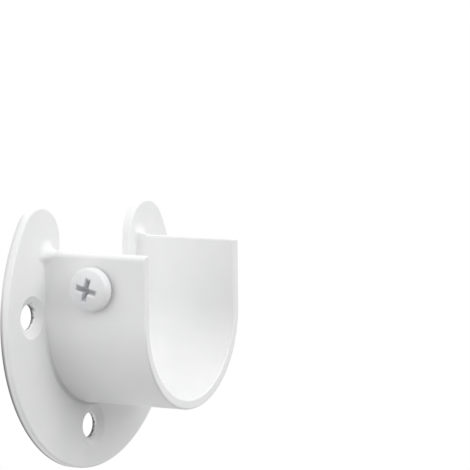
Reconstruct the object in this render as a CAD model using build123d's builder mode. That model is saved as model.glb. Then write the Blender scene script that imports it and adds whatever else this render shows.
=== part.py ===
from build123d import *
import os

os.makedirs("parts", exist_ok=True)

# All lengths are in millimetres and all angles in degrees.
# X runs to the right along the wall, Y points into the wall and Z points up.
# The origin is the centre of the round plate on the wall, which is also the pole's axis.

# Trough that carries the end of the pole
socket_diameter = 32.0
wall_thickness = 1.9
trough_length = 22.0
wall_height = 13.2
trough_turn = 2.7
wall_top_outer_round = 1.0
wall_top_inner_round = 0.4
mouth_round = 0.35

# Weld between trough and plate: thick over the wall tops, fine down the sides and round the bottom
weld_fillet = 2.3
root_fillet = 0.35
weld_fade = 1.0

# Round wall plate, open at the top between two horns
plate_diameter = 61.5
plate_thickness = 1.8
plate_front_round = 0.5
plate_back_chamfer = 0.2
lip_width = 3.3
horn_round = 6.8

# Countersunk holes for the wall screws
hole_circle_diameter = 45.0
hole_diameter = 5.0
countersink_diameter = 8.2
countersink_angle = 120.0

# Locking screw at the middle of the left wall
thread_diameter = 5.0
thread_clearance = 0.05
head_diameter = 8.4
head_height = 2.9
head_side = 1.7
head_edge_round = 1.0
head_standoff = 0.5
shank_length = 3.0
tip_chamfer = 0.8
recess_span = 4.6
recess_width = 1.2
recess_depth = 1.9
recess_taper = 9.0
recess_turn = 15.0

# Sizes and planes that follow from the ones above
socket_radius = socket_diameter / 2
outer_radius = socket_radius + wall_thickness
notch_radius = socket_radius - lip_width
plate_radius = plate_diameter / 2
horn_radius = min(horn_round, 0.45 * (plate_radius - notch_radius))
wall_plane = Plane.XZ
plate_front = Plane.XZ.offset(plate_thickness)

# The trough sits on the plate turned a little about the pole's axis, with its left wall low
trough_plane = plate_front.rotated((0, -trough_turn, 0))
lock_plane = Plane(
    origin=trough_plane.from_local_coords((-outer_radius, wall_height / 2, trough_length / 2)),
    x_dir=trough_plane.z_dir,
    z_dir=-trough_plane.x_dir,
)


# Section of a concave fillet, drawn across the corner between the trough and the plate
def fillet_section(corner_x, corner_y, outward, radius):
    corner = trough_plane.from_local_coords((corner_x, corner_y, 0))
    overlap = (wall_top_inner_round + wall_top_outer_round) / 2
    across = Plane(origin=corner, x_dir=outward, z_dir=outward.cross(-trough_plane.z_dir))
    with BuildSketch(across) as section:
        with BuildLine():
            RadiusArc((radius, 0), (0, -radius), -radius)
            Polyline(
                (0, -radius),
                (-overlap, -radius),
                (-overlap, plate_thickness / 2),
                (radius, plate_thickness / 2),
                (radius, 0),
            )
        make_face()
    return section.sketch


# Plate and trough, welded round the outside into one piece
with BuildPart() as bracket_body:
    # Wall plate: a disc with a U notch cut down from its top edge
    with BuildSketch(wall_plane) as plate_outline:
        Circle(plate_radius)
        Circle(notch_radius, mode=Mode.SUBTRACT)
        Rectangle(2 * notch_radius, plate_diameter, align=(Align.CENTER, Align.MIN), mode=Mode.SUBTRACT)
        fillet(plate_outline.vertices().group_by(Axis.Y)[-1], horn_radius)
    extrude(amount=plate_thickness)
    fillet(bracket_body.faces().sort_by(Axis.Y)[0].outer_wire().edges(), plate_front_round)
    chamfer(bracket_body.faces().sort_by(Axis.Y)[-1].outer_wire().edges(), plate_back_chamfer)

    # Trough: a U of even wall with rounded tops, open at the top and at the front
    with BuildSketch(trough_plane) as trough_section:
        with BuildLine() as inside:
            Line((-socket_radius, wall_height), (-socket_radius, 0))
            ThreePointArc((-socket_radius, 0), (0, -socket_radius), (socket_radius, 0))
            Line((socket_radius, 0), (socket_radius, wall_height))
            offset(amount=wall_thickness, side=Side.RIGHT)
        make_face()
        wall_tops = trough_section.vertices().group_by(Axis.Y)[-1].sort_by(Axis.X)
        fillet([wall_tops[0], wall_tops[-1]], wall_top_outer_round)
        wall_tops = trough_section.vertices().group_by(Axis.Y)[-1].sort_by(Axis.X)
        fillet(wall_tops[1:-1], wall_top_inner_round)
    extrude(amount=trough_length)
    fillet(bracket_body.faces().sort_by(Axis.Y)[0].edges(), mouth_round)

    # Weld over the left wall top and round its outer corner
    corner_x = outer_radius - wall_top_outer_round
    corner_y = wall_height - wall_top_outer_round
    with BuildLine(trough_plane) as weld_path:
        Line((-socket_radius, wall_height), (-corner_x, wall_height))
        RadiusArc((-corner_x, wall_height), (-outer_radius, corner_y), -wall_top_outer_round)
    weld_start = fillet_section(-socket_radius, wall_height, trough_plane.y_dir, weld_fillet)
    weld = sweep(sections=weld_start, path=weld_path.wires()[0], mode=Mode.PRIVATE)

    # The weld fades into the finer fillet a little way down the side
    fade_y = corner_y - weld_fade
    fade_start = fillet_section(-outer_radius, corner_y, -trough_plane.x_dir, weld_fillet)
    fade_end = fillet_section(-outer_radius, fade_y, -trough_plane.x_dir, root_fillet)
    fade = loft(sections=[fade_start, fade_end], ruled=True, mode=Mode.PRIVATE)
    add([weld, fade])
    mirror([weld, fade], about=Plane(origin=trough_plane.origin, z_dir=trough_plane.x_dir))

    # Fine fillet down the left side, round the bottom and up the right side
    with BuildLine(trough_plane) as root_path:
        Line((-outer_radius, fade_y), (-outer_radius, 0))
        ThreePointArc((-outer_radius, 0), (0, -outer_radius), (outer_radius, 0))
        Line((outer_radius, 0), (outer_radius, fade_y))
    sweep(sections=fade_end, path=root_path.wires()[0])

    # Wall screws at the left, the bottom and the right
    with Locations(plate_front):
        with PolarLocations(hole_circle_diameter / 2, 3, 180, 180, endpoint=True):
            CounterSinkHole(
                radius=hole_diameter / 2,
                counter_sink_radius=countersink_diameter / 2,
                depth=plate_thickness,
                counter_sink_angle=countersink_angle,
            )

    # Hole for the locking screw through the left wall
    with BuildSketch(lock_plane):
        Circle(thread_diameter / 2 + thread_clearance)
    extrude(amount=2 * wall_thickness, both=True, mode=Mode.SUBTRACT)

bracket_body.part.label = "bracket_body"
export_step(bracket_body.part, "parts/bracket_body.step")

# Pan head screw with a cross recess, standing a little off the wall
head_seat = lock_plane.offset(head_standoff)
screw_axis = Axis(head_seat.origin, head_seat.z_dir)
screw_plane = Plane(origin=head_seat.origin, x_dir=head_seat.z_dir, z_dir=head_seat.x_dir)
recess_plane = Plane(
    origin=head_seat.offset(head_height).origin, x_dir=head_seat.x_dir, z_dir=-head_seat.z_dir
)

with BuildPart() as locking_screw:
    with BuildSketch(screw_plane) as screw_half:
        with BuildLine():
            Polyline(
                (head_height, 0),
                (-shank_length, 0),
                (-shank_length, thread_diameter / 2 - tip_chamfer),
                (tip_chamfer - shank_length, thread_diameter / 2),
                (0, thread_diameter / 2),
                (0, head_diameter / 2),
                (head_side, head_diameter / 2),
            )
            dome = head_height - head_side
            dome_radius = ((head_diameter / 2) ** 2 + dome**2) / (2 * dome)
            RadiusArc((head_side, head_diameter / 2), (head_height, 0), dome_radius)
        make_face()
        fillet(screw_half.vertices().group_by(Axis.Y)[-1].sort_by(Axis.X)[-1], head_edge_round)
    revolve(axis=screw_axis)
    with BuildSketch(recess_plane) as recess:
        Rectangle(recess_span, recess_width, rotation=recess_turn)
        Rectangle(recess_width, recess_span, rotation=recess_turn)
    extrude(amount=recess_depth, taper=recess_taper, mode=Mode.SUBTRACT)

locking_screw.part.label = "locking_screw"
export_step(locking_screw.part, "parts/locking_screw.step")
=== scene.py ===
import math
import bmesh
import bpy
from mathutils import Matrix, Vector


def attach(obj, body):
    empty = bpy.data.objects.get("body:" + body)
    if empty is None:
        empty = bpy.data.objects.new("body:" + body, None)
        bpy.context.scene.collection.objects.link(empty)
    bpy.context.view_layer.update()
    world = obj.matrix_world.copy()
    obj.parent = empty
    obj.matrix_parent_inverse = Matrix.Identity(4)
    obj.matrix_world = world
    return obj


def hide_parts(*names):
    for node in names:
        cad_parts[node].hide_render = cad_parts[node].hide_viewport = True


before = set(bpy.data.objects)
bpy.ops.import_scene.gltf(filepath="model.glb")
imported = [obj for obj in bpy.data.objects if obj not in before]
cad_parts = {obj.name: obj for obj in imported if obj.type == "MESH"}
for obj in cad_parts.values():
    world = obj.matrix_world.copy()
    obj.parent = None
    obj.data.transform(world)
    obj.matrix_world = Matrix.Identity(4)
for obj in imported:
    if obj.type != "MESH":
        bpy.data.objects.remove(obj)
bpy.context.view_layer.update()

# Bracket: a steel U trough welded to a notched round plate, drilled, countersunk and powder
# coated white as one piece. The coat is a baked film with a fine orange peel. Painted shade darkens
# it:
# near black and ragged inside the screw holes and on the plate's back edge, and grey in the root
# below.
mm = 0.001
plate_radius = 30.75 * mm
plate_thickness = 1.8 * mm
trough_outer_radius = 17.9 * mm
hole_circle_radius = 22.5 * mm
hole_turns = [math.radians(turn) for turn in (180, 270, 360)]
# Colours of painted shade: near black in the holes and on the plate's back edge, grey in the root
painted_hole_edge_shade = (0.10, 0.10, 0.105, 1)
painted_root_shade = (0.67, 0.67, 0.675, 1)


def add_node(tree, kind, links=None, **settings):
    node = tree.nodes.new(kind)
    for name, value in settings.items():
        setattr(node, name, value)
    for socket, source in (links or {}).items():
        if isinstance(source, bpy.types.NodeSocket):
            tree.links.new(source, node.inputs[socket])
        else:
            node.inputs[socket].default_value = source
    return node


def calc(tree, operation, *values):
    node = add_node(tree, "ShaderNodeMath", dict(enumerate(values)), operation=operation)
    return node.outputs["Value"]


def vector_calc(tree, operation, *vectors):
    node = add_node(tree, "ShaderNodeVectorMath", dict(enumerate(vectors)), operation=operation)
    return node.outputs["Vector"]


def vector_measure(tree, operation, *vectors):
    node = add_node(tree, "ShaderNodeVectorMath", dict(enumerate(vectors)), operation=operation)
    return node.outputs["Value"]


def fade(tree, value, start, end, first=0.0, last=1.0, curve="LINEAR"):
    reach = {"Value": value, "From Min": start, "From Max": end, "To Min": first, "To Max": last}
    return add_node(tree, "ShaderNodeMapRange", reach, interpolation_type=curve).outputs["Result"]


def noise(tree, coords, scale, detail):
    grain = {"Vector": coords, "Scale": scale, "Detail": detail}
    return add_node(tree, "ShaderNodeTexNoise", grain).outputs["Fac"]


def mix_value(tree, share, first, last):
    return add_node(tree, "ShaderNodeMix", {"Factor": share, 2: first, 3: last}).outputs[0]


def mix_color(tree, share, first, last):
    blend = {"Factor": share, 6: first, 7: last}
    return add_node(tree, "ShaderNodeMix", blend, data_type="RGBA").outputs[2]


# The film, shared with the screw: fine peel on a slower swell where it flowed, faintly uneven white
peel_detail = 1.5
swell_detail = 2.0
swell_scale_share = 0.16
swell_weight = 3.0
tone_start = 0.35
tone_end = 0.65
gloss_spread = 0.08
coat_ior = 1.5

coat = bpy.data.node_groups.new("powder_coat_film", "ShaderNodeTree")
for label, kind in (
    ("Position", "NodeSocketVector"),
    ("White", "NodeSocketColor"),
    ("Shade", "NodeSocketColor"),
    ("Peel Size", "NodeSocketFloat"),
    ("Gloss", "NodeSocketFloat"),
):
    coat.interface.new_socket(label, in_out="INPUT", socket_type=kind)
for label, kind in (
    ("Color", "NodeSocketColor"),
    ("Roughness", "NodeSocketFloat"),
    ("Height", "NodeSocketFloat"),
):
    coat.interface.new_socket(label, in_out="OUTPUT", socket_type=kind)
coat_in = add_node(coat, "NodeGroupInput")
peel_scale = calc(coat, "DIVIDE", 1.0, coat_in.outputs["Peel Size"])
swell_scale = calc(coat, "MULTIPLY", peel_scale, swell_scale_share)
peel = noise(coat, coat_in.outputs["Position"], peel_scale, peel_detail)
swell = noise(coat, coat_in.outputs["Position"], swell_scale, swell_detail)
tone = fade(coat, swell, tone_start, tone_end)
add_node(
    coat,
    "NodeGroupOutput",
    {
        "Color": mix_color(coat, tone, coat_in.outputs["White"], coat_in.outputs["Shade"]),
        "Roughness": calc(coat, "MULTIPLY_ADD", tone, gloss_spread, coat_in.outputs["Gloss"]),
        "Height": calc(coat, "MULTIPLY_ADD", swell, swell_weight, peel),
    },
)


def coated_material(name, white_color, shade_color, peel_size, roughness, peel_height):
    material = bpy.data.materials.new(name)
    material.use_nodes = True
    tree = material.node_tree
    coords = add_node(tree, "ShaderNodeTexCoord").outputs["Object"]
    film = add_node(
        tree,
        "ShaderNodeGroup",
        {
            "Position": coords,
            "White": white_color,
            "Shade": shade_color,
            "Peel Size": peel_size,
            "Gloss": roughness,
        },
        node_tree=coat,
    )
    bump = add_node(
        tree,
        "ShaderNodeBump",
        {"Height": film.outputs["Height"], "Strength": 1.0, "Distance": peel_height},
    )
    shader = tree.nodes["Principled BSDF"]
    tree.links.new(film.outputs["Color"], shader.inputs["Base Color"])
    tree.links.new(film.outputs["Roughness"], shader.inputs["Roughness"])
    tree.links.new(bump.outputs["Normal"], shader.inputs["Normal"])
    shader.inputs["IOR"].default_value = coat_ior
    return material, coords, film, shader


body_paint, body_coords, body_film, body_shader = coated_material(
    "body_paint",
    white_color=(0.86, 0.86, 0.86, 1),
    shade_color=(0.835, 0.838, 0.842, 1),
    peel_size=1.1 * mm,
    roughness=0.36,
    peel_height=0.004 * mm,
)
tree = body_paint.node_tree
body_axes = add_node(tree, "ShaderNodeSeparateXYZ", {"Vector": body_coords})
depth = body_axes.outputs["Y"]
height = body_axes.outputs["Z"]
on_plate = vector_calc(tree, "MULTIPLY", body_coords, (1, 0, 1))
from_pole = vector_measure(tree, "LENGTH", on_plate)

# Painted shade inside the screw holes: near black, ragged, and reaching further out the further it is
# from one height on the plate
hole_reach = 2.55 * mm
hole_shade_grain = 0.6 * mm
hole_shade_detail = 2.0
hole_ragged = 1.0 * mm
hole_slope = 0.11
hole_shade_start = 0.85 * mm
hole_shade_end = 0.15 * mm
hole_shade_level = -hole_circle_radius / 2
to_holes = []
for turn in hole_turns:
    direction = Vector((math.cos(turn), 0, math.sin(turn)))
    to_holes.append(vector_measure(tree, "DISTANCE", on_plate, hole_circle_radius * direction))
nearest_hole = to_holes[0]
for to_hole in to_holes[1:]:
    nearest_hole = calc(tree, "MINIMUM", nearest_hole, to_hole)
in_hole = calc(tree, "LESS_THAN", calc(tree, "ADD", nearest_hole, depth), hole_reach)
hole_shade_noise = noise(tree, body_coords, 1 / hole_shade_grain, hole_shade_detail)
ragged_shade_depth = calc(tree, "MULTIPLY_ADD", hole_shade_noise, hole_ragged, depth)
from_shade_level = calc(tree, "ABSOLUTE", calc(tree, "SUBTRACT", height, hole_shade_level))
hole_shade_depth = calc(tree, "MULTIPLY_ADD", from_shade_level, hole_slope, ragged_shade_depth)
hole_shade_zero = hole_ragged / 2 - hole_slope * hole_shade_level
hole_shade = fade(
    tree, hole_shade_depth, hole_shade_zero - hole_shade_start, hole_shade_zero - hole_shade_end, curve="SMOOTHSTEP"
)

# Painted shade on the back of the plate's edge, most of it low down
edge_depth_start = -0.9 * mm
edge_depth_end = -0.3 * mm
edge_low = -8 * mm
edge_high = 6 * mm
edge_low_share = 0.95
edge_high_share = 0.22
edge_inset_start = 0.35 * mm
edge_inset_end = 0.2 * mm
edge_back = fade(tree, depth, edge_depth_start, edge_depth_end)
edge_share = fade(tree, height, edge_low, edge_high, edge_low_share, edge_high_share)
at_edge = fade(
    tree, from_pole, plate_radius - edge_inset_start, plate_radius - edge_inset_end, 0.0, edge_share
)
hole_edge_shade = mix_value(tree, in_hole, calc(tree, "MULTIPLY", edge_back, at_edge), hole_shade)

# Painted shade in the root where the trough meets the plate, outside the trough and below the pole's
# axis
root_core = 0.1 * mm
root_spread = 1.0 * mm
root_inset = 1.0 * mm
root_full_height = -14 * mm
past_trough = calc(tree, "SUBTRACT", from_pole, trough_outer_radius)
past_plate = calc(tree, "SUBTRACT", -plate_thickness, depth)
from_root = calc(tree, "MAXIMUM", past_trough, past_plate)
root_shade = fade(tree, from_root, root_core, root_spread, 1.0, 0.0, curve="SMOOTHERSTEP")
for limit in (
    calc(tree, "GREATER_THAN", past_trough, -root_inset),
    calc(tree, "GREATER_THAN", past_plate, -plate_thickness / 2),
    fade(tree, height, root_full_height, 0.0, 1.0, 0.0),
):
    root_shade = calc(tree, "MULTIPLY", root_shade, limit)
# The film colour takes the painted shade of the root, then the painted shade of the holes and the back
# edge
root_shaded_color = mix_color(tree, root_shade, body_film.outputs["Color"], painted_root_shade)
body_color = mix_color(tree, hole_edge_shade, root_shaded_color, painted_hole_edge_shade)
tree.links.new(body_color, body_shader.inputs["Base Color"])
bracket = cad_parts["bracket_body"]
bracket.data.materials.clear()
bracket.data.materials.append(body_paint)

# Weld toes: the bead over each wall top runs out at its two ends, inside on the plate's lip
# and outside in the fine root. Weld metal, dressed smooth and coated with the bracket.
trough_turn = math.radians(2.7)
wall_thickness = 1.9 * mm
wall_top = 13.2 * mm
wall_outer_round = 1.0 * mm
lip_bend = 0.15 * mm
bead_radius = 2.3 * mm
bead_hidden_radius = bead_radius - 0.08 * mm
bead_proud_radius = bead_radius + 0.03 * mm
lip_turned_radius = 1.5 * mm
lip_end_radius = 0.1 * mm
root_radius = 0.35 * mm
toe_sink = 0.14 * mm
bead_run = 0.5 * mm
lip_run = 2.8 * mm
root_run = 2.0 * mm
toe_steps = 12
toe_sharp_angle = math.radians(40)

trough_right = Vector((math.cos(trough_turn), 0, math.sin(trough_turn)))
trough_up = Vector((-math.sin(trough_turn), 0, math.cos(trough_turn)))
off_plate = Vector((0, -1, 0))
shares = [step / toe_steps for step in range(toe_steps + 1)]
quarter_angles = [0.5 * math.pi * share for share in shares]


def eased(start, end, share):
    return start + (end - start) * share * share * (3 - 2 * share)


def straight_run(corner, travel, outward, start_radius, end_radius):
    return [
        (corner + share * travel, outward, eased(start_radius, end_radius, share)) for share in shares
    ]


def quarter_turn(center, bend, first, last, start_radius, end_radius):
    stations = []
    for share, angle in zip(shares, quarter_angles):
        outward = math.cos(angle) * first + math.sin(angle) * last
        stations.append((center + bend * outward, outward, eased(start_radius, end_radius, share)))
    return stations


def toe_ring(build, corner, outward, radius):
    section = [(radius * (1 - math.sin(a)), radius * (1 - math.cos(a))) for a in quarter_angles]
    section += [(-toe_sink, radius), (-toe_sink, -toe_sink), (radius, -toe_sink)]
    return [build.verts.new(corner + out * outward + off * off_plate) for out, off in section]


def add_toe(build, stations):
    rings = [toe_ring(build, *station) for station in stations]
    build.faces.new(rings[0])
    build.faces.new(rings[-1])
    for near, far in zip(rings, rings[1:]):
        for a in range(len(near)):
            b = (a + 1) % len(near)
            build.faces.new((near[a], near[b], far[b], far[a]))


def mesh_from(build, name):
    bmesh.ops.recalc_face_normals(build, faces=build.faces)
    mesh = bpy.data.meshes.new(name)
    build.to_mesh(mesh)
    build.free()
    return mesh


def add_object(name, data):
    added = bpy.data.objects.new(name, data)
    bpy.context.scene.collection.objects.link(added)
    return added


toe_build = bmesh.new()
plate_face = plate_thickness * off_plate
for away in (-trough_right, trough_right):
    inner_corner = (trough_outer_radius - wall_thickness) * away + wall_top * trough_up + plate_face
    lip_center = inner_corner + lip_bend * (away - trough_up)
    bead_start = lip_center + lip_bend * trough_up + bead_run * away
    lip_start = lip_center - lip_bend * away
    over_bead = straight_run(
        bead_start, -bead_run * away, trough_up, bead_hidden_radius, bead_proud_radius
    )
    round_lip = quarter_turn(
        lip_center, lip_bend, trough_up, -away, bead_proud_radius, lip_turned_radius
    )
    down_lip = straight_run(
        lip_start, -lip_run * trough_up, -away, lip_turned_radius, lip_end_radius
    )
    add_toe(toe_build, over_bead[:-1] + round_lip + down_lip[1:])

    outer_center = (trough_outer_radius - wall_outer_round) * away
    outer_center += (wall_top - wall_outer_round) * trough_up + plate_face
    root_start = outer_center + wall_outer_round * away
    round_wall = quarter_turn(
        outer_center, wall_outer_round, trough_up, away, bead_hidden_radius, bead_proud_radius
    )
    down_root = straight_run(
        root_start, -root_run * trough_up, away, bead_proud_radius, root_radius
    )
    add_toe(toe_build, round_wall[:-1] + down_root)
toes = add_object("weld_toes", mesh_from(toe_build, "weld_toes"))
toes.data.shade_smooth()
toes.data.set_sharp_from_angle(angle=toe_sharp_angle)
toes.data.materials.append(body_paint)
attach(toes, "bracket")

# Locking screw: an M5 pan head of zinc-plated steel, cold headed and rolled, in a tapped hole
# of the left wall. Its head is sprayed white, and most of the cross recess stays bare.
head_radius = 4.2 * mm
head_height = 2.9 * mm
head_side = 1.7 * mm
head_edge_round = 1.0 * mm
head_under_round = 0.2 * mm
head_steps = 128
under_steps = 6
edge_steps = 10
dome_steps = 32
merge_distance = 0.0005 * mm
screw_sharp_angle = math.radians(50)
shank_length = 3.0 * mm
thread_crest = 2.48 * mm
thread_root = 2.03 * mm
thread_pitch = 0.8 * mm
tip_chamfer = 0.6 * mm
head_standoff = 0.5 * mm
lock_height = 6.6 * mm
lock_reach = 12.8 * mm

head_seat = lock_height * trough_up - (trough_outer_radius + head_standoff) * trough_right
head_seat += lock_reach * off_plate
screw_turn = Matrix((off_plate, trough_up, -trough_right)).transposed().to_4x4()
screw_place = Matrix.Translation(head_seat) @ screw_turn


def arc_points(center, radius, start, end, count):
    angles = [start + (end - start) * step / count for step in range(count + 1)]
    return [(center[0] + radius * math.cos(a), center[1] + radius * math.sin(a)) for a in angles]


dome_rise = head_height - head_side
dome_radius = (head_radius**2 + dome_rise**2) / (2 * dome_rise)
dome_center = head_height - dome_radius
edge_x = head_radius - head_edge_round
edge_z = dome_center + math.sqrt((dome_radius - head_edge_round) ** 2 - edge_x**2)
edge_angle = math.atan2(edge_z - dome_center, edge_x)
under_x = head_radius - head_under_round
profile = [
    (0, -shank_length),
    (thread_root - tip_chamfer, -shank_length),
    (thread_root, tip_chamfer - shank_length),
    (thread_root, 0),
]
profile += arc_points((under_x, head_under_round), head_under_round, -math.pi / 2, 0, under_steps)
profile += arc_points((edge_x, edge_z), head_edge_round, 0, edge_angle, edge_steps)
profile += arc_points((0, dome_center), dome_radius, edge_angle, math.pi / 2, dome_steps)[1:]

screw_build = bmesh.new()
profile_points = [screw_build.verts.new((r, 0, z)) for r, z in profile]
profile_edges = [screw_build.edges.new(pair) for pair in zip(profile_points, profile_points[1:])]
bmesh.ops.spin(
    screw_build,
    geom=profile_points + profile_edges,
    cent=(0, 0, 0),
    axis=(0, 0, 1),
    angle=2 * math.pi,
    steps=head_steps,
    use_merge=True,
)
bmesh.ops.remove_doubles(screw_build, verts=screw_build.verts, dist=merge_distance)
screw = add_object("pan_head_screw", mesh_from(screw_build, "pan_head_screw"))

# Cross recess: a tapered punch whose flare, in steps out and up, rounds the edge of the cut
recess_depth = 1.9 * mm
recess_top_span = 4.35 * mm
recess_floor_span = 2.4 * mm
recess_top_width = 1.0 * mm
recess_floor_width = 0.7 * mm
recess_corner = 0.35 * mm
recess_corner_steps = 5
recess_tip = 0.4 * mm
recess_edge_round = 0.25 * mm
recess_flare = ((0, -1), (0.35, -0.35), (1.2, 0.2), (1.4, 4))
recess_wings = 4
recess_turn = math.radians(-15)


def cross_outline(span, width):
    quarter = [(span / 2, -width / 2), (span / 2, width / 2)]
    bend = width / 2 + recess_corner
    quarter += arc_points((bend, bend), recess_corner, -math.pi / 2, -math.pi, recess_corner_steps)
    turns = [recess_turn + 2 * math.pi * wing / recess_wings for wing in range(recess_wings)]
    return [Matrix.Rotation(turn, 2) @ Vector(point) for turn in turns for point in quarter]


def dome_height(x, y):
    return dome_center + math.sqrt(dome_radius**2 - x**2 - y**2)


floor_height = head_height - recess_depth
floor_outline = cross_outline(recess_floor_span, recess_floor_width)
punch_build = bmesh.new()
rings = [[punch_build.verts.new((x, y, floor_height)) for x, y in floor_outline]]
for out, rise in recess_flare:
    grow = 2 * out * recess_edge_round
    lift = rise * recess_edge_round
    outline = cross_outline(recess_top_span + grow, recess_top_width + grow)
    rings.append([punch_build.verts.new((x, y, dome_height(x, y) + lift)) for x, y in outline])
tip = punch_build.verts.new((0, 0, floor_height - recess_tip))
punch_build.faces.new(rings[-1])
for a in range(len(rings[0])):
    b = (a + 1) % len(rings[0])
    punch_build.faces.new((rings[0][a], rings[0][b], tip))
    for low, high in zip(rings, rings[1:]):
        punch_build.faces.new((high[a], high[b], low[b], low[a]))
punch = add_object("recess_punch", mesh_from(punch_build, "recess_punch"))
cut = screw.modifiers.new("recess", "BOOLEAN")
cut.operation = "DIFFERENCE"
cut.solver = "EXACT"
cut.object = punch


def make_plain(piece):
    graph = bpy.context.evaluated_depsgraph_get()
    piece.data = bpy.data.meshes.new_from_object(piece.evaluated_get(graph))
    piece.modifiers.clear()


make_plain(screw)
bpy.data.objects.remove(punch)
screw.data.transform(screw_place)
screw.data.shade_smooth()
screw.data.set_sharp_from_angle(angle=screw_sharp_angle)

# White paint on the head, ragged at the recess. Inside the recess the zinc is bare, giving way to
# white towards the front and the top of the head
zinc_color = (0.545, 0.562, 0.58, 1)
zinc_roughness = 0.45
zinc_shine = 0.35
paint_skin = 0.12 * mm
paint_fade = 0.30 * mm
paint_ragged = 0.25 * mm
chip_size = 0.5 * mm
chip_detail = 3.0
bare_radius = 2.7 * mm
recess_white_start = 5.2 * mm
recess_white_end = 8.4 * mm
recess_bare_remainder = 0.05
recess_white_aim = screw_turn.to_3x3() @ Vector((1, 0, 1))
screw_paint, screw_coords, screw_film, screw_shader = coated_material(
    "screw_paint",
    white_color=(0.81, 0.81, 0.815, 1),
    shade_color=(0.78, 0.785, 0.795, 1),
    peel_size=0.8 * mm,
    roughness=0.3,
    peel_height=0.003 * mm,
)
tree = screw_paint.node_tree
from_center = vector_calc(
    tree, "SUBTRACT", screw_coords, screw_place @ Vector((0, 0, dome_center))
)
from_dome = vector_measure(tree, "LENGTH", from_center)
from_axis = vector_measure(
    tree, "LENGTH", vector_calc(tree, "CROSS_PRODUCT", from_center, -trough_right)
)
chips = noise(tree, screw_coords, 1 / chip_size, chip_detail)
chipped = calc(tree, "MULTIPLY_ADD", chips, paint_ragged, from_dome)
skin_radius = dome_radius + paint_ragged / 2 - paint_skin
bare = fade(tree, chipped, skin_radius - paint_fade, skin_radius, 1.0, 0.0)
for limit in (
    fade(tree, from_axis, bare_radius, bare_radius + paint_fade, 1.0, 0.0),
    fade(
        tree,
        vector_measure(tree, "DOT_PRODUCT", from_center, recess_white_aim),
        recess_white_start,
        recess_white_end,
        1.0,
        recess_bare_remainder,
    ),
):
    bare = calc(tree, "MULTIPLY", bare, limit)
screw_color = mix_color(tree, bare, screw_film.outputs["Color"], zinc_color)
screw_gloss = mix_value(tree, bare, screw_film.outputs["Roughness"], zinc_roughness)
tree.links.new(screw_color, screw_shader.inputs["Base Color"])
tree.links.new(screw_gloss, screw_shader.inputs["Roughness"])
tree.links.new(calc(tree, "MULTIPLY", bare, zinc_shine), screw_shader.inputs["Metallic"])
screw.data.materials.clear()
screw.data.materials.append(screw_paint)
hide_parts("locking_screw")
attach(screw, "screw")

# Thread of the locking screw: a rolled right-hand ridge of triangular section that winds
# round the shank and dies away at both ends. Bare zinc plate like the shank.
ridge_radius = 0.5 * thread_pitch
ridge_corners = 3
ridge_end_share = 0.1
run_out_share = 0.2
winding_steps = 48
winding_rise = shank_length - tip_chamfer - ridge_radius
thread_sizes = {
    "Helix Radius": thread_crest - ridge_radius,
    "Rise": winding_rise,
    "Turns": winding_rise / thread_pitch,
    "Ridge Radius": ridge_radius,
    "Run Out": run_out_share,
}

winding = bpy.data.node_groups.new("screw_thread", "GeometryNodeTree")
winding.interface.new_socket("Geometry", in_out="OUTPUT", socket_type="NodeSocketGeometry")
thread_inputs = {
    label: winding.interface.new_socket(label, in_out="INPUT", socket_type="NodeSocketFloat")
    for label in thread_sizes
}
plating = winding.interface.new_socket("Plating", in_out="INPUT", socket_type="NodeSocketMaterial")
wind_in = add_node(winding, "NodeGroupInput")
helix = add_node(
    winding,
    "GeometryNodeCurveSpiral",
    {
        "Resolution": winding_steps,
        "Rotations": wind_in.outputs["Turns"],
        "Start Radius": wind_in.outputs["Helix Radius"],
        "End Radius": wind_in.outputs["Helix Radius"],
        "Height": wind_in.outputs["Rise"],
        "Reverse": True,
    },
)
level = add_node(
    winding, "GeometryNodeSetCurveNormal", {"Curve": helix.outputs["Curve"]}, mode="Z_UP"
)
section = add_node(
    winding,
    "GeometryNodeCurvePrimitiveCircle",
    {"Resolution": ridge_corners, "Radius": wind_in.outputs["Ridge Radius"]},
)
along = add_node(winding, "GeometryNodeSplineParameter").outputs["Factor"]
nearest_end = calc(winding, "MINIMUM", along, calc(winding, "SUBTRACT", 1.0, along))
ridge = add_node(
    winding,
    "GeometryNodeCurveToMesh",
    {
        "Curve": level.outputs["Curve"],
        "Profile Curve": section.outputs["Curve"],
        "Scale": fade(winding, nearest_end, 0.0, wind_in.outputs["Run Out"], ridge_end_share),
        "Fill Caps": True,
    },
)
solid = add_node(winding, "GeometryNodeRealizeInstances", {"Geometry": ridge.outputs["Mesh"]})
plated = add_node(
    winding,
    "GeometryNodeSetMaterial",
    {"Geometry": solid.outputs["Geometry"], "Material": wind_in.outputs["Plating"]},
)
add_node(winding, "NodeGroupOutput", {"Geometry": plated.outputs["Geometry"]})

thread = add_object("screw_thread", bpy.data.meshes.new("screw_thread"))
wind = thread.modifiers.new("winding", "NODES")
wind.node_group = winding
for label, size in thread_sizes.items():
    wind[thread_inputs[label].identifier] = size
wind[plating.identifier] = screw_paint
make_plain(thread)
thread.data.transform(screw_place @ Matrix.Translation((0, 0, tip_chamfer - shank_length)))
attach(thread, "screw")

# Studio: a wide pale floor well below the bracket, white in the distance and clear from below,
# and a white surround. The low front is darker, as a room is behind a camera, and three soft
# lamps light the bracket from the front, from above and from the left.
floor_drop = 120 * mm
floor_reach = 30000 * mm
floor_roughness = 0.9
floor_pale = (0.80, 0.80, 0.80, 1)
floor_bounce = (0.87, 0.87, 0.87, 1)
floor_dark = (0.16, 0.16, 0.16, 1)
floor_dark_start = -20 * mm
floor_dark_end = 70 * mm
floor_white_start = 250 * mm
floor_white_end = 500 * mm
pure_white = (1, 1, 1, 1)
surround_strength = 1.035
dark_strength = 0.61
dark_azimuth = math.radians(-20)
dark_elevation = math.radians(-10)
dark_facing_start = 0.30
dark_facing_end = 0.75
lamp_distance = 700 * mm
lamp_size = 500 * mm


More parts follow.
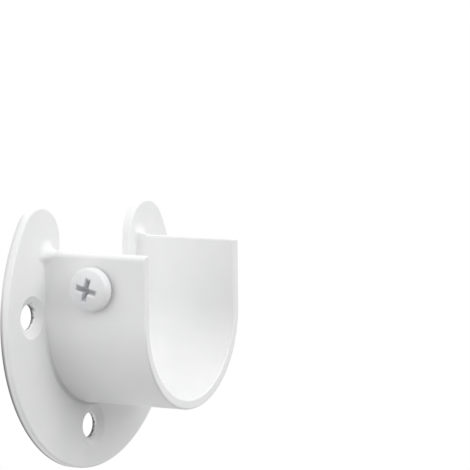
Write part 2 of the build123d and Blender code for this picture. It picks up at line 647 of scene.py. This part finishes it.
def aim_from(azimuth, elevation):
    level = Vector((math.sin(azimuth), -math.cos(azimuth), 0))
    return level * math.cos(elevation) + Vector((0, 0, math.sin(elevation)))


def seen_directly(tree):
    path = add_node(tree, "ShaderNodeLightPath").outputs
    plain_or_shiny = calc(tree, "MAXIMUM", path["Is Camera Ray"], path["Is Glossy Ray"])
    return calc(tree, "MAXIMUM", plain_or_shiny, path["Is Transmission Ray"])


floor_mesh = bpy.data.meshes.new("studio_floor")
floor_corners = [
    (-floor_reach, -floor_reach, -floor_drop),
    (floor_reach, -floor_reach, -floor_drop),
    (floor_reach, floor_reach, -floor_drop),
    (-floor_reach, floor_reach, -floor_drop),
]
floor_mesh.from_pydata(floor_corners, [], [range(len(floor_corners))])
floor = add_object("studio_floor", floor_mesh)
floor_paint = bpy.data.materials.new("studio_floor")
floor_paint.use_nodes = True
floor_mesh.materials.append(floor_paint)
tree = floor_paint.node_tree
floor_shader = tree.nodes["Principled BSDF"]
floor_shader.inputs["Roughness"].default_value = floor_roughness
floor_seen = seen_directly(tree)
floor_place = add_node(tree, "ShaderNodeTexCoord").outputs["Object"]
to_front = vector_measure(tree, "DOT_PRODUCT", floor_place, aim_from(dark_azimuth, 0))
front_dark = fade(tree, to_front, floor_dark_start, floor_dark_end, curve="SMOOTHSTEP")
bounce = mix_color(tree, front_dark, floor_bounce, floor_dark)
floor_color = mix_color(tree, floor_seen, bounce, floor_pale)
tree.links.new(floor_color, floor_shader.inputs["Base Color"])
far_out = vector_measure(tree, "LENGTH", floor_place)
whiteness = fade(tree, far_out, floor_white_start, floor_white_end, curve="SMOOTHSTEP")
floor_white = add_node(tree, "ShaderNodeEmission", {"Color": pure_white, "Strength": 1.0})
floor_whitened = add_node(
    tree,
    "ShaderNodeMixShader",
    {
        0: calc(tree, "MULTIPLY", whiteness, floor_seen),
        1: floor_shader.outputs["BSDF"],
        2: floor_white.outputs["Emission"],
    },
)
underside = add_node(tree, "ShaderNodeNewGeometry").outputs["Backfacing"]
straight_view = add_node(tree, "ShaderNodeLightPath").outputs["Is Camera Ray"]
floor_open = add_node(
    tree,
    "ShaderNodeMixShader",
    {
        0: calc(tree, "MULTIPLY", underside, straight_view),
        1: floor_whitened.outputs["Shader"],
        2: add_node(tree, "ShaderNodeBsdfTransparent").outputs["BSDF"],
    },
)
tree.links.new(floor_open.outputs["Shader"], tree.nodes["Material Output"].inputs["Surface"])

world = bpy.data.worlds.new("studio")
bpy.context.scene.world = world
world.use_nodes = True
tree = world.node_tree
surround = tree.nodes["Background"]
surround.inputs["Color"].default_value = pure_white
surround_aim = add_node(tree, "ShaderNodeTexCoord").outputs["Generated"]
facing_dark = vector_measure(tree, "DOT_PRODUCT", surround_aim, aim_from(dark_azimuth, dark_elevation))
lighting = fade(
    tree,
    facing_dark,
    dark_facing_start,
    dark_facing_end,
    surround_strength,
    dark_strength,
    curve="SMOOTHSTEP",
)
surround_level = mix_value(tree, seen_directly(tree), lighting, 1.0)
tree.links.new(surround_level, surround.inputs["Strength"])

for lamp_name, azimuth, elevation, watts in (
    ("front_softbox", -14, 28, 1.92),
    ("high_softbox", 10, 58, 0.3),
    ("left_softbox", -108, 8, 0.4),
):
    lamp = add_object(lamp_name, bpy.data.lights.new(lamp_name, "AREA"))
    lamp.data.shape = "DISK"
    lamp.data.size = lamp_size
    lamp.data.energy = watts
    lamp.location = lamp_distance * aim_from(math.radians(azimuth), math.radians(elevation))
    lamp.rotation_euler = (-lamp.location).to_track_quat("-Z", "Y").to_euler()

# Camera: a long lens at the photograph's angle, from the left and a little above the pole's
# axis, with the bracket low and to the left in a square frame.
view_azimuth = math.radians(-60.794)
view_elevation = math.radians(3.604)
view_roll = math.radians(0.785)
view_distance = 622.802 * mm
view_near = 10 * mm
focal_pixels = 3244.266
image_pixels = 470
aim_point = Vector((0, -15, 0)) * mm
aim_right = -15.670 * mm
aim_up = -15.069 * mm
back = aim_from(view_azimuth, view_elevation)
level_right = Vector((0, 0, 1)).cross(back).normalized()
level_up = back.cross(level_right)
right = level_right * math.cos(view_roll) + level_up * math.sin(view_roll)
up = level_up * math.cos(view_roll) - level_right * math.sin(view_roll)
camera = add_object("photo_camera", bpy.data.cameras.new("photo_camera"))
camera.data.lens = focal_pixels / image_pixels * camera.data.sensor_width
camera.data.clip_start = view_near
camera_spot = aim_point + view_distance * back - aim_right * right - aim_up * up
camera_turn = Matrix((right, up, back)).transposed().to_4x4()
camera.matrix_world = Matrix.Translation(camera_spot) @ camera_turn
bpy.context.scene.camera = camera
bpy.context.scene.view_settings.view_transform = "Standard"
